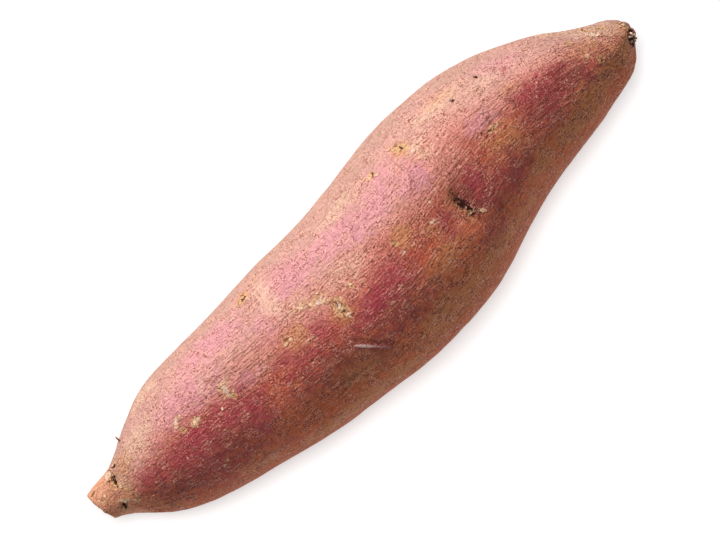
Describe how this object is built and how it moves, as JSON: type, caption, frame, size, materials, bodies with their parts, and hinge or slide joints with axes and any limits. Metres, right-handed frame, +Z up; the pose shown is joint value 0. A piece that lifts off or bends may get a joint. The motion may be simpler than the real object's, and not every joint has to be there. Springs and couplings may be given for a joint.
{
  "type": "sweet potato",
  "caption": "Whole raw sweet potato, a shallow S from broken root tip to stem scar, lying on the small flat spot it rests on.",
  "frame": {"origin": "on the ground, under the middle of the root's bounding box", "axes": "+X runs from the broken root tip to the stem end, +Z is up from the surface it rests on"},
  "size_m": [0.2046, 0.0588, 0.0535],
  "materials": {
    "skin": "pink to magenta skin with tan scurf, faintly waxy"
  },
  "bodies": {
    "root": {"sweet_potato": "skin"}
  },
  "joints": []
}
